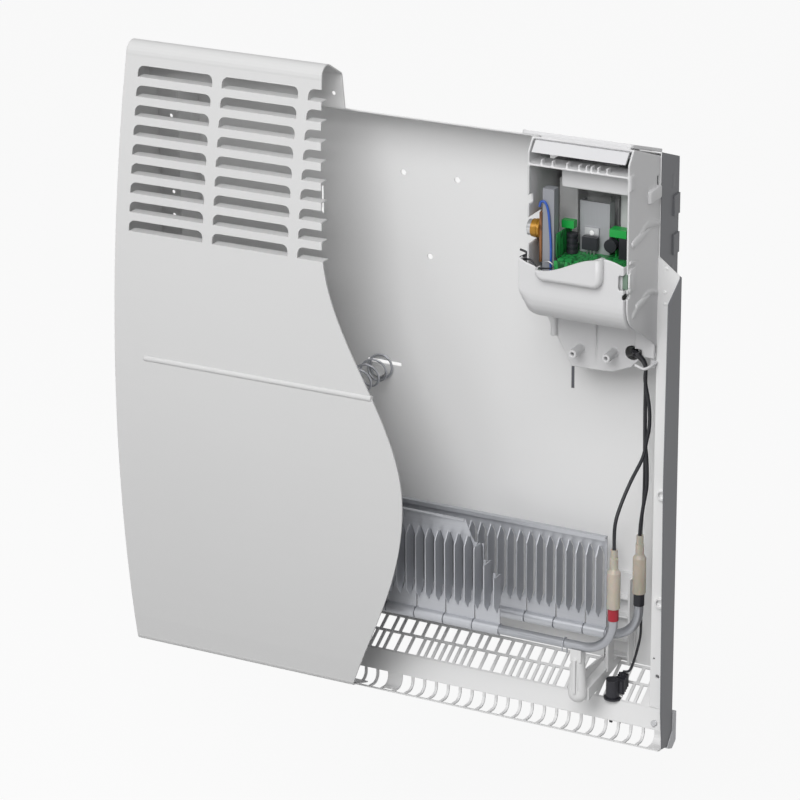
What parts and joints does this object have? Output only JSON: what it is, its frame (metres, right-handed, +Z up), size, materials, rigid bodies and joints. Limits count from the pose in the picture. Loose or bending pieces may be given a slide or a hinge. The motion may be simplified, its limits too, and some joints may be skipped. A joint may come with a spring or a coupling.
{
  "type": "electric convector heater",
  "caption": "Wall-hung electric convector heater with a white front cover cut away in an S to show the finned element, leads and electronic control box.",
  "frame": {"origin": "on the wall face of the back panel, midway between the two wall-screw holes", "axes": "+X to the heater's right as seen from the room, +Y from the room into the wall, +Z up"},
  "size_m": [0.3986, 0.0979, 0.463],
  "materials": {
    "cover_steel": "satin",
    "cream_steel": "satin",
    "white_steel": "satin",
    "side_steel": "satin",
    "zinc": "satin",
    "spring_steel": "polished",
    "tube_steel": "satin",
    "fin_aluminium": "satin",
    "heatsink_aluminium": "satin",
    "white_plastic": "matt",
    "bright_plastic": "gloss",
    "light_grey_plastic": "matt",
    "grey_plastic": "matt",
    "black_plastic": "matt",
    "red_plastic": "satin",
    "lens_plastic": "gloss",
    "green_plastic": "satin",
    "board_green": "satin",
    "board_brown": "matt",
    "gold_film": "satin",
    "sleeve_silicone": "satin",
    "blue_pvc": "satin",
    "black_pvc": "satin",
    "black_rubber": "matt"
  },
  "bodies": {
    "heater": {"back_panel": "cream_steel", "bottom_grille": "white_steel", "front_cover": "cover_steel", "cover_side_strip": "side_steel", "cover_screws": "zinc", "corner_cap_right": "grey_plastic", "corner_cap_left": "grey_plastic", "earth_spring": "spring_steel", "spring_seat": "zinc", "heating_tube": "tube_steel", "back_fin_blade": "fin_aluminium", "front_fin_blade": "fin_aluminium", "element_support_right": "white_plastic", "element_support_left": "white_plastic", "element_clips": "spring_steel", "front_terminal_sleeve": "sleeve_silicone", "back_terminal_sleeve": "sleeve_silicone", "terminal_pins": "zinc", "front_terminal_band": "red_plastic", "back_terminal_band": "black_plastic", "control_housing": "white_plastic", "control_front_cover": "white_plastic", "control_tail": "white_plastic", "upper_front_panel": "bright_plastic", "control_bezel": "white_plastic", "thermostat_potentiometer": "zinc", "mode_switch": "black_plastic", "indicator_lens": "lens_plastic", "circuit_board": "board_green", "heatsink": "heatsink_aluminium", "triac_tab": "zinc", "triac_body": "black_plastic", "triac_legs": "zinc", "ring_capacitor": "black_plastic", "disc_component": "black_plastic", "relay": "black_plastic", "terminal_blocks": "green_plastic", "inner_partition": "light_grey_plastic", "side_board": "board_brown", "choke_coil": "gold_film", "choke_cap": "heatsink_aluminium", "blue_wire": "blue_pvc", "housing_screws": "zinc", "cable_clip": "white_plastic", "front_lead": "black_pvc", "back_lead": "black_pvc", "probe_lead": "black_pvc", "probe_body": "black_plastic", "probe_clip": "black_plastic", "cord_bush": "black_rubber"},
    "knob": {"thermostat_knob": "bright_plastic"},
    "slider": {"mode_slider": "grey_plastic"},
    "rocker": {"power_rocker": "bright_plastic"}
  },
  "joints": [
    {"name": "knob_turn", "type": "hinge", "parent": "heater", "child": "knob", "pos_m": [0.1575, -0.03284, 0.05269], "axis": [0, 0.3134, 0.9496], "range_deg": [-135, 135]},
    {"name": "slider_travel", "type": "slide", "parent": "heater", "child": "slider", "axis": [0, 0.9496, -0.3134], "range_m": [0, 0.012]},
    {"name": "rocker_tilt", "type": "hinge", "parent": "heater", "child": "rocker", "pos_m": [0.1075, -0.03409, 0.0489], "axis": [1, 0, 0], "range_deg": [0, 8]}
  ]
}
